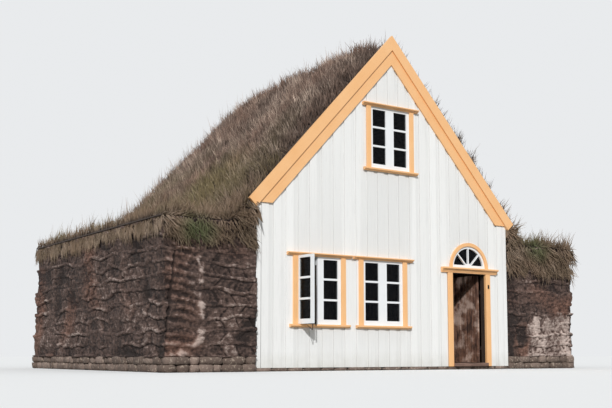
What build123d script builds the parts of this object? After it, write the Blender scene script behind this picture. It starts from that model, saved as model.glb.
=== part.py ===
from build123d import *
from math import ceil, cos, radians, sin, tan
import os

# Turf house: a boarded timber front between thick turf walls, under a steep turf roof.
# Millimetres, +Z up. The front faces -Y. The origin lies on the ground, at the middle of
# the front, in the plane of the front boards' outer face.

# Plan of the house
front_width = 5870
house_depth = 6150
room_depth = 4760
left_wall = 1730
right_wall = 1930
wall_height = 2500
turf_gap = 35

# Faces of the turf walls: courses that lean out to their upper edges. The left wall's front stands
# out at its foot, and the back leans inwards.
course_count = 5
course_set_back = 45
left_spread = 120
left_belly = 60
right_belly = 30
back_batter = 150

# Roof: its slope, its layers from the outside in, and how far the rafters' feet pass the front
roof_slope = 47.5
turf_depth = 300
roof_board = 25
rafter_depth = 100
rafter_width = 80
rafter_overhang = 15
truss_spacing = 950
ridge_thick = 40
ridge_depth = 150

# Outer form of the turf. The ridge is told from the gable's tip, and the shoulder over the eaves
# and the valley at the party line from the walls' top.
front_ridge_drop = 30
ridge_rise = 190
back_ridge_drop = 90
shoulder_beyond = 365
shoulder_rise = 460
valley_rise = 140
front_shoulder_drop = 100
back_shoulder_drop = 120
turf_bulge = 110
turf_rise_depth = 850
turf_fall_depth = 4700

# Stones under the walls and the front
stone_height = 250
stone_proud = 30
sill_stone = 60

# Front wall: boards on a timber frame
board = 28
timber = 110
beam_depth = 100
stud = 80
lining = 25
post = 100
post_clear = 5

# Floors
floor_height = 120
floor_board = 30
sleeper = 90
sleeper_count = 5
loft_board = 25
hatch_width = 700
hatch_length = 820
hatch_from_wall = 220

# Barge boards
boards_below_tip = 60
barge_width = 190
barge_upper_thick = 60
barge_lower_thick = 30
barge_foot_rise = 370
barge_beyond = 165

# Windows: the light is the clear width and height inside the yellow casings. The left one is told
# from the front's left corner, and the upper sill from the loft joists' top.
light_width = 920
light_height = 1187
upper_light_height = 1160
left_window_in = 1294
middle_window = -225
upper_window = -30
lower_sill = 810
upper_sill_rise = 1120
frame_member = 40
mullion = 60
mullion_depth = 76
casement_thick = 38
casement_inset = 10
casement_gap = 0.3
outer_stile = 60
meeting_stile = 66
top_rail = 46
bottom_rail = 84
glazing_bar = 36
glass = 4
ajar_angle = 85

# Yellow casings round the windows and the door
casing_width = 100
casing_thick = 28
window_head_width = 1370
upper_head_width = 1310
window_head_height = 56
window_head_proud = 85
window_sill_width = 1260
window_sill_height = 58
window_sill_proud = 70

# Doorway, told from the front's right corner, with a half-round light over it, whose arch stays
# below the walls' top
doorway_in = 1030
doorway_width = 880
arch_below_top = 35
door_casing = 115
cornice_width = 1440
cornice_height = 100
cornice_proud = 100
fanlight_outer = 500
arch_width = 66
fanlight_rim = 45
fanlight_foot = 60
fanlight_bar = 26
fanlight_hub = 95
threshold_height = 125
threshold_proud = 60

# Door leaf, hung on the right jamb and standing open into the house. The upper strap and the
# keeper are told from the door head.
leaf_thick = 40
leaf_gap = 8
leaf_top_gap = 10
leaf_foot_gap = 7
hinge_out = 14
strap_length = 520
strap_height = 45
strap_thick = 6
strap_clear = 2
knuckle_radius = 9
knuckle_height = 50
collar = 18
pin_radius = 5
pin_stub = 9
running_gap = 0.3
strap_low = 420
strap_below_head = 345
handle_height = 1290
handle_reach = 45
handle_radius = 26
handle_from_edge = 60
latch_width = 30
latch_height = 75
latch_thick = 12
latch_below_head = 245

# Stay of the open casement
stay_radius = 6
stay_drop = 110
stay_bend = 24
stay_seat = 2.4

slope = tan(radians(roof_slope))


def line_height(apex, x):
    """Height of a roof line at a distance x from the middle, from its height at the ridge."""
    return apex - slope * abs(x)


def line_reach(apex, z):
    """Distance from the middle at which a roof line comes down to the height z."""
    return (apex - z) / slope


# Worked out from the values above
across = 1 / cos(radians(roof_slope))
half_front = front_width / 2
frame_back = board + timber
room_back = frame_back + room_depth
lining_back = room_back + lining
half_room = half_front + post_clear - post - lining
turf_inner = half_front + turf_gap
party_left = turf_inner + left_wall
party_right = turf_inner + right_wall
joist_top = wall_height + beam_depth
joist_half = half_front + rafter_overhang
rafter_top_apex = joist_top + slope * joist_half
rafter_foot_apex = rafter_top_apex - rafter_depth * across
board_top_apex = rafter_top_apex + roof_board * across
gable_height = board_top_apex + turf_depth * across
back_end = house_depth + back_batter
course = (wall_height - stone_height) / course_count
frame_half = light_width / 2 + frame_member
upper_sill = joist_top + upper_sill_rise
left_window = left_window_in - half_front
door_centre = half_front - doorway_in
door_head = wall_height - arch_below_top - fanlight_outer - cornice_height
leaf_width = doorway_width - 2 * leaf_gap
door_left = door_centre - doorway_width / 2
door_right = door_centre + doorway_width / 2
cornice_top = door_head + cornice_height
pin_x = door_right
pin_y = frame_back + hinge_out
leaf_back = pin_x - hinge_out
leaf_face = leaf_back - leaf_thick
leaf_near = pin_y + leaf_gap
leaf_far = leaf_near + leaf_width
leaf_low = threshold_height + leaf_foot_gap
leaf_high = door_head - leaf_top_gap

os.makedirs("parts", exist_ok=True)


def block(x0, x1, y0, y1, z0, z1, mode=Mode.ADD):
    """A squared timber, slab or stone between two corners, in the part being built."""
    with Locations(((x0 + x1) / 2, (y0 + y1) / 2, (z0 + z1) / 2)):
        Box(abs(x1 - x0), abs(y1 - y0), abs(z1 - z0), mode=mode)


# Stone course under the front: a low row of flat stones that the sill beam lies on
with BuildPart() as footing_front:
    block(-half_front, half_front, -stone_proud, frame_back, 0, sill_stone)
footing_front.part.label = "footing_front"
export_step(footing_front.part, "parts/footing_front.step")

# Stone courses under the side walls, standing a little proud of the turf
with BuildPart() as footings_side:
    block(-party_left, -turf_inner, -left_spread - stone_proud, back_end + stone_proud, 0, stone_height)
    block(turf_inner, party_right, -stone_proud, back_end + stone_proud, 0, stone_height)
footings_side.part.label = "footings_side"
export_step(footings_side.part, "parts/footings_side.step")

# Stone course under the back wall, between the side courses
with BuildPart() as footing_back:
    block(-turf_inner, turf_inner, lining_back, back_end + stone_proud, 0, stone_height)
footing_back.part.label = "footing_back"
export_step(footing_back.part, "parts/footing_back.step")


def coursed_face(face, inwards, count):
    """Side view up a turf face: each course leans out to its upper edge, and the next is set back."""
    points = []
    for n in range(count):
        foot, head = stone_height + n * course, stone_height + (n + 1) * course
        points += [(face(foot) + inwards * course_set_back, foot), (face(head), head)]
    return points


def back_face(z):
    """Where the back of the turf walls stands at the height z, without the set-back of courses."""
    return back_end - back_batter * (z - stone_height) / (wall_height - stone_height)


def wall_outline(spread, belly):
    """Side view of a turf side wall, whose front stands out at its foot and bellies halfway up."""
    def front_face(z):
        share = (z - stone_height) / (wall_height - stone_height)
        return -spread * (1 - share) - 4 * belly * share * (1 - share)

    with BuildLine() as outline:
        Polyline(*coursed_face(front_face, 1, course_count),
                 *reversed(coursed_face(back_face, -1, course_count)), close=True)
    return outline.edges()


# Turf side walls, each ending at a plain upright party face
with BuildPart() as turf_wall_left:
    with BuildSketch(Plane.YZ.offset(-party_left)):
        make_face(wall_outline(left_spread, left_belly))
    extrude(amount=party_left - turf_inner)
turf_wall_left.part.label = "turf_wall_left"
export_step(turf_wall_left.part, "parts/turf_wall_left.step")

with BuildPart() as turf_wall_right:
    with BuildSketch(Plane.YZ.offset(turf_inner)):
        make_face(wall_outline(0, right_belly))
    extrude(amount=party_right - turf_inner)
turf_wall_right.part.label = "turf_wall_right"
export_step(turf_wall_right.part, "parts/turf_wall_right.step")

# Turf back wall, its courses carried up as a gable to the roof boards
with BuildPart() as turf_wall_back:
    with BuildSketch(Plane.YZ.offset(-turf_inner)):
        with BuildLine():
            back_courses = ceil((rafter_top_apex - stone_height) / course)
            back_top = stone_height + back_courses * course
            Polyline(*coursed_face(back_face, -1, back_courses), (lining_back, back_top),
                     (lining_back, stone_height), close=True)
        make_face()
    extrude(amount=2 * turf_inner)
    with BuildSketch(Plane.XZ.offset(-lining_back)):
        with BuildLine():
            back_eave = line_height(rafter_top_apex, turf_inner)
            Polyline((-turf_inner, stone_height), (turf_inner, stone_height), (turf_inner, back_eave),
                     (0, rafter_top_apex), (-turf_inner, back_eave), close=True)
        make_face()
    extrude(amount=-(back_end - lining_back), mode=Mode.INTERSECT)
turf_wall_back.part.label = "turf_wall_back"
export_step(turf_wall_back.part, "parts/turf_wall_back.step")


def turf_section(side, party, ridge, drop):
    """Cut through one half of the turf roof, from the roof boards to the grass."""
    eave = line_reach(board_top_apex, wall_height)
    shoulder_out = half_front + shoulder_beyond
    shoulder = (side * shoulder_out, wall_height + shoulder_rise - drop)
    valley = (side * party, wall_height + valley_rise - drop / 2)
    crown = (side * (shoulder_out / 2 + turf_bulge * sin(radians(roof_slope))),
             (ridge + shoulder[1]) / 2 + turf_bulge * cos(radians(roof_slope)))
    hollow = ((shoulder[0] + valley[0]) / 2, (shoulder[1] + valley[1]) / 2 - turf_bulge / 2)
    with BuildLine() as outline:
        Polyline((0, ridge), (0, board_top_apex), (side * eave, wall_height), (side * party, wall_height),
                 valley)
        ThreePointArc(valley, hollow, shoulder)
        ThreePointArc(shoulder, crown, (0, ridge))
    return outline.edges()


# Turf roof in two halves that meet at the ridge: low behind the barge boards, fuller further in
# and lower again at the back. Each station is its distance from the front, the ridge's height
# and the drop of the shoulder.
full_ridge = gable_height + ridge_rise
turf_stations = ((board, gable_height - front_ridge_drop, front_shoulder_drop),
                 (turf_rise_depth, full_ridge, 0), (turf_fall_depth, full_ridge, 0),
                 (house_depth, gable_height - back_ridge_drop, back_shoulder_drop))

with BuildPart() as turf_roof_left:
    for y, ridge, drop in turf_stations:
        with BuildSketch(Plane.XZ.offset(-y)):
            make_face(turf_section(-1, party_left, ridge, drop))
    loft(ruled=True)
turf_roof_left.part.label = "turf_roof_left"
export_step(turf_roof_left.part, "parts/turf_roof_left.step")

with BuildPart() as turf_roof_right:
    for y, ridge, drop in turf_stations:
        with BuildSketch(Plane.XZ.offset(-y)):
            make_face(turf_section(1, party_right, ridge, drop))
    loft(ruled=True)
turf_roof_right.part.label = "turf_roof_right"
export_step(turf_roof_right.part, "parts/turf_roof_right.step")


def half_layer(side, top_apex, foot_apex, foot, ridge_side=0):
    """Cut through a sloping layer on one side of the roof, ending level at the height foot."""
    with BuildLine() as outline:
        Polyline((side * ridge_side, line_height(top_apex, ridge_side)),
                 (side * line_reach(top_apex, foot), foot), (side * line_reach(foot_apex, foot), foot),
                 (side * ridge_side, line_height(foot_apex, ridge_side)), close=True)
    return outline.edges()


# Roof boards under the turf, from the front to the back, resting on the turf walls
with BuildPart() as roof_boards_left:
    with BuildSketch(Plane.XZ.offset(-board)):
        make_face(half_layer(-1, board_top_apex, rafter_top_apex, wall_height))
    extrude(amount=-(house_depth - board))
roof_boards_left.part.label = "roof_boards_left"
export_step(roof_boards_left.part, "parts/roof_boards_left.step")

with BuildPart() as roof_boards_right:
    with BuildSketch(Plane.XZ.offset(-board)):
        make_face(half_layer(1, board_top_apex, rafter_top_apex, wall_height))
    extrude(amount=-(house_depth - board))
roof_boards_right.part.label = "roof_boards_right"
export_step(roof_boards_right.part, "parts/roof_boards_right.step")

# Ridge board between the heads of the rafters
with BuildPart() as ridge_board:
    ridge_top = line_height(rafter_top_apex, ridge_thick / 2)
    block(-ridge_thick / 2, ridge_thick / 2, board, room_back, ridge_top - ridge_depth, ridge_top)
ridge_board.part.label = "ridge_board"
export_step(ridge_board.part, "parts/ridge_board.step")

# Trusses inside the house, counted from the back wall; the front one is part of the front frame
truss_count = int((room_depth - rafter_width) // truss_spacing)
truss_fronts = [room_back - rafter_width - n * truss_spacing for n in range(truss_count + 1)]

# Rafters in pairs, standing on the joists and leaning on the ridge board
with BuildPart() as rafters:
    for front, width in [(board, timber)] + [(y, rafter_width) for y in truss_fronts]:
        with BuildSketch(Plane.XZ.offset(-front)):
            for side in (-1, 1):
                make_face(half_layer(side, rafter_top_apex, rafter_foot_apex, joist_top, ridge_thick / 2))
        extrude(amount=-width)
rafters.part.label = "rafters"
export_step(rafters.part, "parts/rafters.step")

# Joists across the house, one under each pair of rafters
with BuildPart() as loft_joists:
    for y in truss_fronts:
        block(-joist_half, joist_half, y, y + rafter_width, wall_height, joist_top)
loft_joists.part.label = "loft_joists"
export_step(loft_joists.part, "parts/loft_joists.step")

# Plates along the side walls, which carry the joists
with BuildPart() as wall_plates:
    for side in (-1, 1):
        block(side * (half_room + lining), side * (half_room + lining + post), frame_back, lining_back,
              wall_height - beam_depth, wall_height)
wall_plates.part.label = "wall_plates"
export_step(wall_plates.part, "parts/wall_plates.step")

# Posts under the plates, between the turf and the inner boards
with BuildPart() as side_posts:
    for side in (-1, 1):
        for y in truss_fronts:
            block(side * (half_room + lining), side * (half_room + lining + post), y, y + rafter_width,
                  0, wall_height - beam_depth)
side_posts.part.label = "side_posts"
export_step(side_posts.part, "parts/side_posts.step")

# Inner boards of the side walls, nailed to the posts and plates
with BuildPart() as side_boards:
    for side in (-1, 1):
        block(side * half_room, side * (half_room + lining), frame_back, room_back, 0, wall_height)
side_boards.part.label = "side_boards"
export_step(side_boards.part, "parts/side_boards.step")

# Inner boards of the back wall, from the ground to the roof boards
with BuildPart() as back_boards:
    with BuildSketch(Plane.XZ.offset(-room_back)):
        with BuildLine():
            eave = line_height(rafter_top_apex, half_room)
            Polyline((-half_room, 0), (half_room, 0), (half_room, eave), (0, rafter_top_apex),
                     (-half_room, eave), close=True)
        make_face()
    extrude(amount=-lining)
back_boards.part.label = "back_boards"
export_step(back_boards.part, "parts/back_boards.step")

# Ground floor: boards nailed to sleepers that lie on the ground
with BuildPart() as ground_floor:
    block(-half_room, half_room, frame_back, room_back, floor_height - floor_board, floor_height)
    sleeper_pitch = (room_depth - sleeper) / (sleeper_count - 1)
    for n in range(sleeper_count):
        y = frame_back + n * sleeper_pitch
        block(-half_room, half_room, y, y + sleeper, 0, floor_height - floor_board)
ground_floor.part.label = "ground_floor"
export_step(ground_floor.part, "parts/ground_floor.step")

# Loft floor on the joists, with a plain hatch hole between the last two joists
with BuildPart() as loft_floor:
    loft_half = line_reach(rafter_foot_apex, joist_top + loft_board)
    block(-loft_half, loft_half, frame_back, room_back, joist_top, joist_top + loft_board)
    hatch_left = -half_room + hatch_from_wall
    hatch_front = truss_fronts[1] + rafter_width + (truss_spacing - rafter_width - hatch_length) / 2
    block(hatch_left, hatch_left + hatch_width, hatch_front, hatch_front + hatch_length,
          joist_top, joist_top + loft_board, mode=Mode.SUBTRACT)
loft_floor.part.label = "loft_floor"
export_step(loft_floor.part, "parts/loft_floor.step")

# Beams of the front frame: the sill beam on each side of the doorway and the tie beam over it
with BuildPart() as front_beams:
    block(-half_front, door_left - stud, board, frame_back, sill_stone, threshold_height)
    block(door_right + stud, half_front, board, frame_back, sill_stone, threshold_height)
    block(-half_front, half_front, board, frame_back, wall_height, joist_top)
front_beams.part.label = "front_beams"
export_step(front_beams.part, "parts/front_beams.step")

# Posts of the front frame: the corners, and a stud on each side of every window. Those of the
# gable are cut at the head to the slope of the front rafters.
with BuildPart() as front_posts:
    for side in (-1, 1):
        block(side * half_front, side * (half_front - timber), board, frame_back, threshold_height,
              wall_height)
        for centre in (left_window, middle_window):
            edge = centre + side * frame_half
            block(edge, edge + side * stud, board, frame_back, threshold_height, wall_height)
    with BuildSketch(Plane.XZ.offset(-board)):
        for side in (-1, 1):
            near = upper_window + side * frame_half
            far = near + side * stud
            with BuildLine():
                Polyline((near, joist_top), (far, joist_top), (far, line_height(rafter_foot_apex, far)),
                         (near, line_height(rafter_foot_apex, near)), close=True)
            make_face()
    extrude(amount=-timber)
front_posts.part.label = "front_posts"
export_step(front_posts.part, "parts/front_posts.step")

# Outer boards of the front, left of the doorway, with the holes for two windows
with BuildPart() as front_boards_left:
    block(-half_front, door_left, 0, board, sill_stone, wall_height)
    for centre in (left_window, middle_window):
        block(centre - frame_half, centre + frame_half, 0, board, lower_sill - frame_member,
              lower_sill + light_height + frame_member, mode=Mode.SUBTRACT)
front_boards_left.part.label = "front_boards_left"
export_step(front_boards_left.part, "parts/front_boards_left.step")

# Outer boards right of the doorway
with BuildPart() as front_boards_right:
    block(door_right, half_front, 0, board, sill_stone, wall_height)
front_boards_right.part.label = "front_boards_right"
export_step(front_boards_right.part, "parts/front_boards_right.step")

# Outer boards over the doorway, with the half-round hole for the fanlight
fanlight_radius = fanlight_outer - arch_width
with BuildPart() as front_boards_over_door:
    block(door_left, door_right, 0, board, door_head, wall_height)
    with BuildSketch(Plane.XZ):
        with Locations((door_centre, cornice_top)):
            Circle(fanlight_radius)
        with Locations((door_centre, cornice_top - fanlight_radius / 2)):
            Rectangle(2 * fanlight_radius, fanlight_radius, mode=Mode.SUBTRACT)
    extrude(amount=-board, mode=Mode.SUBTRACT)
front_boards_over_door.part.label = "front_boards_over_door"
export_step(front_boards_over_door.part, "parts/front_boards_over_door.step")

# Outer boards of the gable, up to the barge boards, with the hole for the upper window
with BuildPart() as front_boards_gable:
    gable_apex = gable_height - boards_below_tip
    with BuildSketch(Plane.XZ):
        with BuildLine():
            corner = line_height(gable_apex, half_front)
            Polyline((-half_front, wall_height), (half_front, wall_height), (half_front, corner),
                     (0, gable_apex), (-half_front, corner), close=True)
        make_face()
        with Locations((upper_window, upper_sill + upper_light_height / 2)):
            Rectangle(2 * frame_half, upper_light_height + 2 * frame_member, mode=Mode.SUBTRACT)
    extrude(amount=-board)
front_boards_gable.part.label = "front_boards_gable"
export_step(front_boards_gable.part, "parts/front_boards_gable.step")

# Barge boards: the upper board of each pair stands proud of the lower one
joint_apex = gable_height - barge_width * across
barge_foot_apex = joint_apex - barge_width * across


def upper_barge(side):
    """Outline of an upper barge board, its foot cut square to the slope."""
    reach = half_front + barge_beyond
    tip = line_height(gable_height, reach)
    with BuildLine() as outline:
        Polyline((0, gable_height), (side * reach, tip),
                 (side * (reach - barge_width * sin(radians(roof_slope))),
                  tip - barge_width * cos(radians(roof_slope))),
                 (0, joint_apex), close=True)
    return outline.edges()


with BuildPart() as barge_upper_left:
    with BuildSketch(Plane.XZ):
        make_face(upper_barge(-1))
    extrude(amount=barge_upper_thick)
barge_upper_left.part.label = "barge_upper_left"
export_step(barge_upper_left.part, "parts/barge_upper_left.step")

with BuildPart() as barge_upper_right:
    with BuildSketch(Plane.XZ):
        make_face(upper_barge(1))
    extrude(amount=barge_upper_thick)
barge_upper_right.part.label = "barge_upper_right"
export_step(barge_upper_right.part, "parts/barge_upper_right.step")

with BuildPart() as barge_lower_left:
    with BuildSketch(Plane.XZ):
        make_face(half_layer(-1, joint_apex, barge_foot_apex, wall_height + barge_foot_rise))
    extrude(amount=barge_lower_thick)
barge_lower_left.part.label = "barge_lower_left"
export_step(barge_lower_left.part, "parts/barge_lower_left.step")

with BuildPart() as barge_lower_right:
    with BuildSketch(Plane.XZ):
        make_face(half_layer(1, joint_apex, barge_foot_apex, wall_height + barge_foot_rise))
    extrude(amount=barge_lower_thick)
barge_lower_right.part.label = "barge_lower_right"
export_step(barge_lower_right.part, "parts/barge_lower_right.step")

# Windows as their middle, sill height and light height
windows = ((left_window, lower_sill, light_height), (middle_window, lower_sill, light_height),
           (upper_window, upper_sill, upper_light_height))

# Window frames: a deep box through the whole front with a mullion up the middle
with BuildPart() as window_frames:
    for centre, sill, height in windows:
        block(centre - frame_half, centre + frame_half, 0, frame_back, sill - frame_member,
              sill + height + frame_member)
        block(centre - light_width / 2, centre + light_width / 2, 0, frame_back, sill, sill + height,
              mode=Mode.SUBTRACT)
        block(centre - mullion / 2, centre + mullion / 2, casement_inset,
              casement_inset + mullion_depth, sill, sill + height)
window_frames.part.label = "window_frames"
export_step(window_frames.part, "parts/window_frames.step")

casement_width = (light_width - mullion) / 2 - 2 * casement_gap
pane_width = casement_width - outer_stile - meeting_stile


def pane_height(height):
    """Height of each of the three panes in a casement for a light of this height."""
    return (height - 2 * casement_gap - top_rail - bottom_rail - 2 * glazing_bar) / 3


def casement(side, height):
    """A casement hung on one side of a window, from its hinge edge at the sill of the light."""
    block(0, -side * casement_width, 0, casement_thick, casement_gap, height - casement_gap)
    for n in range(3):
        foot = casement_gap + bottom_rail + n * (pane_height(height) + glazing_bar)
        block(-side * outer_stile, -side * (outer_stile + pane_width), 0, casement_thick, foot,
              foot + pane_height(height), mode=Mode.SUBTRACT)


def hinge_edge(centre, side):
    """Where a casement's outer edge stands in its window."""
    return centre + side * (light_width / 2 - casement_gap)


# Lower casements that stand shut
with BuildPart() as casements_lower:
    for centre, side in ((left_window, 1), (middle_window, -1), (middle_window, 1)):
        with Locations((hinge_edge(centre, side), casement_inset, lower_sill)):
            casement(side, light_height)
casements_lower.part.label = "casements_lower"
export_step(casements_lower.part, "parts/casements_lower.step")

# Upper casements, shut
with BuildPart() as casements_upper:
    for side in (-1, 1):
        with Locations((hinge_edge(upper_window, side), casement_inset, upper_sill)):
            casement(side, upper_light_height)
casements_upper.part.label = "casements_upper"
export_step(casements_upper.part, "parts/casements_upper.step")

# The casement that stands open, turned outwards on the left edge of the left window
ajar_hinge_x = hinge_edge(left_window, -1)
ajar_place = Location((ajar_hinge_x, casement_inset, lower_sill), (0, 0, -ajar_angle))
with BuildPart() as casement_ajar:
    with Locations(ajar_place):
        casement(-1, light_height)
casement_ajar.part.label = "casement_ajar"
export_step(casement_ajar.part, "parts/casement_ajar.step")


def panes(side, height):
    """The three panes of one casement, each filling its opening."""
    depth = (casement_thick - glass) / 2
    for n in range(3):
        foot = casement_gap + bottom_rail + n * (pane_height(height) + glazing_bar)
        block(-side * outer_stile, -side * (outer_stile + pane_width), depth, depth + glass, foot,
              foot + pane_height(height))


# Glass of all the casements
with BuildPart() as window_glass:
    for centre, side in ((left_window, 1), (middle_window, -1), (middle_window, 1)):
        with Locations((hinge_edge(centre, side), casement_inset, lower_sill)):
            panes(side, light_height)
    for side in (-1, 1):
        with Locations((hinge_edge(upper_window, side), casement_inset, upper_sill)):
            panes(side, upper_light_height)
    with Locations(ajar_place):
        panes(-1, light_height)
window_glass.part.label = "window_glass"
export_step(window_glass.part, "parts/window_glass.step")

# Casings round each window, under a head moulding and over a projecting sill
with BuildPart() as window_casings:
    for (centre, sill, height), head in zip(windows, (window_head_width, window_head_width,
                                                      upper_head_width)):
        for side in (-1, 1):
            edge = centre + side * light_width / 2
            block(edge, edge + side * casing_width, -casing_thick, 0, sill, sill + height)
        block(centre - head / 2, centre + head / 2, -window_head_proud, 0, sill + height,
              sill + height + window_head_height)
        block(centre - window_sill_width / 2, centre + window_sill_width / 2, -window_sill_proud, 0,
              sill - window_sill_height, sill)
window_casings.part.label = "window_casings"
export_step(window_casings.part, "parts/window_casings.step")

# Door frame: two jambs from the footing to the tie beam and a head between them
with BuildPart() as door_frame:
    block(door_left - stud, door_left, board, frame_back, sill_stone, wall_height)
    block(door_right, door_right + stud, board, frame_back, sill_stone, wall_height)
    block(door_left, door_right, board, frame_back, door_head, cornice_top)
door_frame.part.label = "door_frame"
export_step(door_frame.part, "parts/door_frame.step")

# Door casings with the cornice that lies on them
with BuildPart() as door_casings:
    block(door_left - door_casing, door_left, -casing_thick, 0, sill_stone, door_head)
    block(door_right, door_right + door_casing, -casing_thick, 0, sill_stone, door_head)
    block(door_centre - cornice_width / 2, door_centre + cornice_width / 2, -cornice_proud, 0,
          door_head, cornice_top)
door_casings.part.label = "door_casings"
export_step(door_casings.part, "parts/door_casings.step")

# Threshold between the jambs, flush with the sill beams
with BuildPart() as threshold:
    block(door_left, door_right, -threshold_proud, frame_back, sill_stone, threshold_height)
threshold.part.label = "threshold"
export_step(threshold.part, "parts/threshold.step")


def half_disc(radius, hole=0):
    """Half a disc or ring that stands on the cornice, centred over the doorway."""
    with Locations((door_centre, cornice_top)):
        Circle(radius)
        if hole:
            Circle(hole, mode=Mode.SUBTRACT)
    with Locations((door_centre, cornice_top - radius / 2)):
        Rectangle(2 * radius, radius, mode=Mode.SUBTRACT)


# Arch moulding round the fanlight
with BuildPart() as fanlight_arch:
    with BuildSketch(Plane.XZ):
        half_disc(fanlight_outer, fanlight_radius)
    extrude(amount=casing_thick)
fanlight_arch.part.label = "fanlight_arch"
export_step(fanlight_arch.part, "parts/fanlight_arch.step")

# Fanlight sash: a half-round rim, a foot rail, and bars that spread from a hub
glass_radius = fanlight_radius - fanlight_rim
with BuildPart() as fanlight_sash:
    with BuildSketch(Plane.XZ):
        half_disc(fanlight_radius, glass_radius)
        with Locations((door_centre, cornice_top + fanlight_foot / 2)):
            Rectangle(2 * glass_radius, fanlight_foot)
        with Locations((door_centre, cornice_top)):
            Circle(fanlight_hub)
            with PolarLocations(glass_radius / 2, 3, start_angle=45, angular_range=90, endpoint=True):
                Rectangle(glass_radius, fanlight_bar)
        with Locations((door_centre, cornice_top - fanlight_outer / 2)):
            Rectangle(2 * fanlight_outer, fanlight_outer, mode=Mode.SUBTRACT)
    extrude(amount=-casement_thick)
fanlight_sash.part.label = "fanlight_sash"
export_step(fanlight_sash.part, "parts/fanlight_sash.step")

# Fanlight glass: one half-round sheet behind the bars
with BuildPart() as fanlight_glass:
    with BuildSketch(Plane.XZ.offset(-casement_thick)):
        half_disc(fanlight_radius)
    extrude(amount=-glass)
fanlight_glass.part.label = "fanlight_glass"
export_step(fanlight_glass.part, "parts/fanlight_glass.step")

# Ironwork fixed to the house: two pintles for the door, its keeper, and the stay of the open
# casement, a hooked bar from the sill's front edge to the casement's foot
strap_heights = (strap_low, door_head - strap_below_head)
latch_centre = door_head - latch_below_head
collar_drop = knuckle_height / 2 + running_gap + collar
ajar_edge = casement_width - outer_stile / 2
stay_end_x = ajar_hinge_x + ajar_edge * cos(radians(ajar_angle)) + casement_thick / 2
stay_end_y = casement_inset - ajar_edge * sin(radians(ajar_angle))
with BuildPart() as ironwork:
    for z in strap_heights:
        block(pin_x, pin_x + stud, frame_back, frame_back + strap_thick, z - collar_drop - collar,
              z - collar_drop + collar)
        with Locations((pin_x, pin_y, z - collar_drop)):
            Cylinder(knuckle_radius, collar, align=(Align.CENTER, Align.CENTER, Align.MIN))
            Cylinder(pin_radius, collar + running_gap + knuckle_height + pin_stub,
                     align=(Align.CENTER, Align.CENTER, Align.MIN))
    keeper_middle = door_right + door_casing / 2
    block(keeper_middle - latch_width / 2, keeper_middle + latch_width / 2, -casing_thick - latch_thick,
          -casing_thick, latch_centre - latch_height / 2, latch_centre + latch_height / 2)
    stay_eye = Vector(stay_end_x + stay_drop, -window_sill_proud - stay_radius + stay_seat,
                      lower_sill - window_sill_height / 2)
    with BuildLine() as stay_line:
        FilletPolyline(stay_eye, (stay_end_x, stay_end_y, lower_sill - stay_drop),
                       (stay_end_x, stay_end_y, lower_sill + casement_gap), radius=stay_bend)
    with BuildSketch(Plane(origin=stay_eye, z_dir=stay_line.line % 0)):
        Circle(stay_radius)
    sweep()
ironwork.part.label = "ironwork"
export_step(ironwork.part, "parts/ironwork.step")

# Door leaf, hanging open along the house from its pins on the right jamb
with BuildPart() as door_leaf:
    block(leaf_face, leaf_back, leaf_near, leaf_far, leaf_low, leaf_high)
door_leaf.part.label = "door_leaf"
export_step(door_leaf.part, "parts/door_leaf.step")

# Strap hinges on the leaf's inner side, each with a knuckle bored to turn on its pin
with BuildPart() as door_straps:
    for z in strap_heights:
        block(leaf_back, leaf_back + strap_thick, leaf_near, leaf_near + strap_length,
              z - strap_height / 2, z + strap_height / 2)
        block(leaf_back + strap_clear, pin_x - pin_radius, pin_y - strap_clear,
              leaf_near + strap_clear, z - strap_height / 2, z + strap_height / 2)
        with Locations((pin_x, pin_y, z)):
            Cylinder(knuckle_radius, knuckle_height)
            Cylinder(pin_radius + running_gap, knuckle_height, mode=Mode.SUBTRACT)
door_straps.part.label = "door_straps"
export_step(door_straps.part, "parts/door_straps.step")

# Knobs on both sides of the leaf near its free edge
with BuildPart() as door_handles:
    for face, out in ((leaf_face, -1), (leaf_back, 1)):
        for start, radius in ((0, handle_radius / 2), (handle_reach / 2, handle_radius)):
            with BuildSketch(Plane(origin=(face + out * start, leaf_far - handle_from_edge, handle_height),
                                   x_dir=(0, 1, 0), z_dir=(out, 0, 0))):
                Circle(radius)
            extrude(amount=handle_reach / 2)
door_handles.part.label = "door_handles"
export_step(door_handles.part, "parts/door_handles.step")
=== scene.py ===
from math import ceil, copysign, cos, floor, hypot, pi, radians, sin, tan
from random import Random

import bmesh
import bpy
from mathutils import Matrix, Vector, noise


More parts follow.
